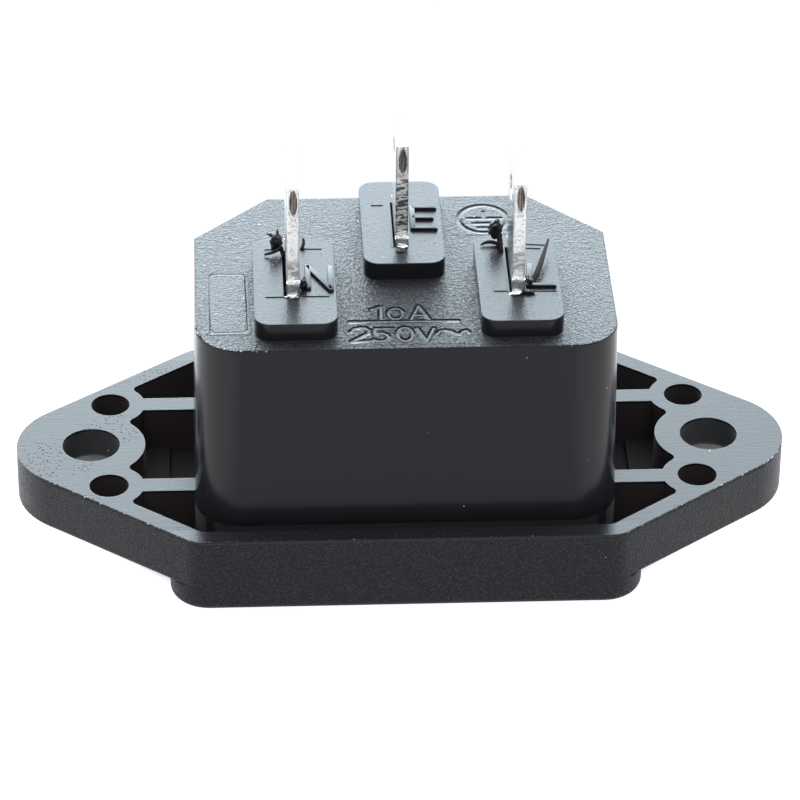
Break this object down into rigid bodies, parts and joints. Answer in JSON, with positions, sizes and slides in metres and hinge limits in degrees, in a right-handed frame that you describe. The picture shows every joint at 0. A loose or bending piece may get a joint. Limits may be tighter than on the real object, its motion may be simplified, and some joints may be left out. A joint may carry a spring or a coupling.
{
  "type": "c14 panel inlet socket",
  "caption": "Screw-fixed panel inlet socket: black moulded flange and shroud, mating recess in front, plated solder and push-on tabs at the rear.",
  "frame": {"origin": "middle of the mating face, on which the socket lies with its terminals up", "axes": "+X from the neutral side to the line side, along the two ears; +Y across the socket towards the earth side; +Z from the mating face to the terminals"},
  "size_m": [0.0496, 0.0222, 0.0278],
  "materials": {
    "housing_plastic": "black injection moulding, fine grain on the flange, smoother shroud walls",
    "contact_plating": "bright tin plating over brass, sheared edges"
  },
  "bodies": {
    "root": {"housing": "housing_plastic", "neutral_contact": "contact_plating", "line_contact": "contact_plating", "earth_contact": "contact_plating"}
  },
  "joints": []
}
